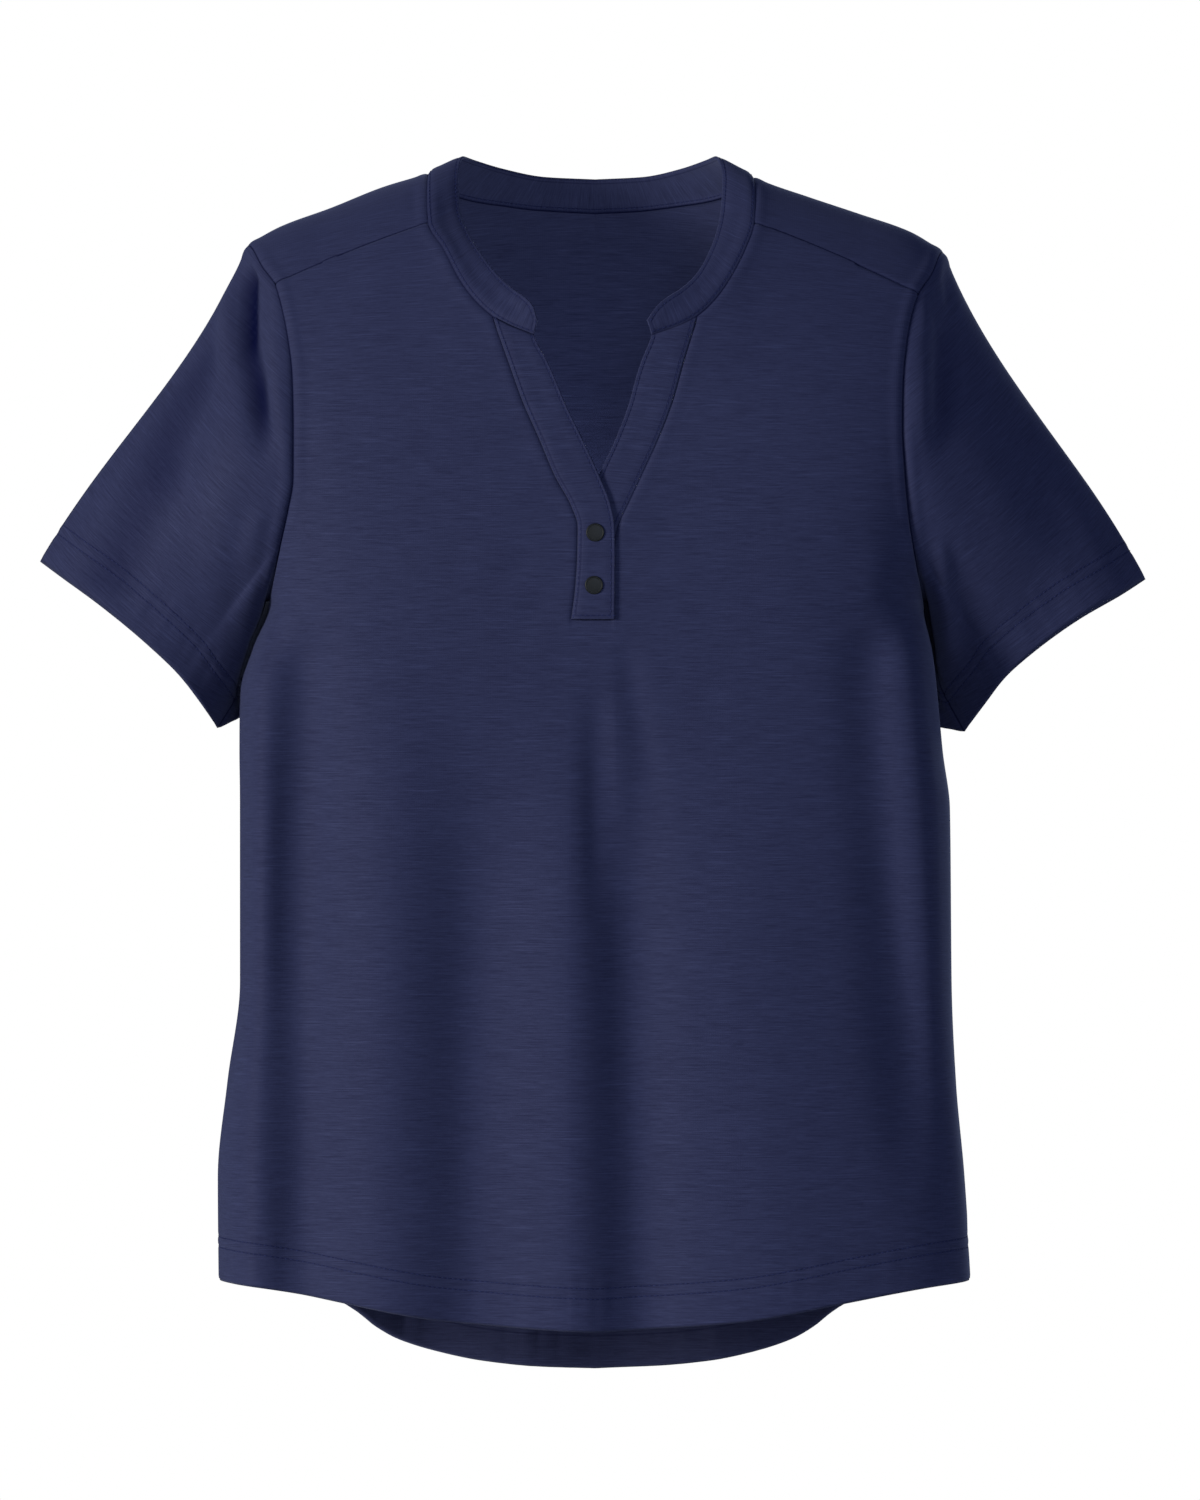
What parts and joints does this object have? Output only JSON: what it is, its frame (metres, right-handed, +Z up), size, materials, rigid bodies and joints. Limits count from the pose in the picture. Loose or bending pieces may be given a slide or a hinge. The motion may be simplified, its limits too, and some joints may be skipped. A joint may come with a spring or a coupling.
{
  "type": "split-neck polo shirt",
  "caption": "Hollow short-sleeved knit top with a split neck, a stand band, a snap placket, set-in sleeves and a longer curved back hem.",
  "frame": {"origin": "between the two neck points of the shoulder line, where the wearer's shoulders hold the garment", "axes": "+Z up the body, -Y out of the front, +X to the right of a viewer who faces the front"},
  "size_m": [0.6502, 0.2053, 0.7175],
  "materials": {
    "jersey": "navy slub jersey with fine level streaks and a low soft sheen",
    "snap": "glossy greenish black"
  },
  "bodies": {
    "root": {"front_panel": "jersey", "back_panel": "jersey", "sleeve_left": "jersey", "sleeve_right": "jersey", "neckband": "jersey", "placket_over": "jersey", "placket_under": "jersey", "snap_upper": "snap", "snap_lower": "snap"}
  },
  "joints": []
}
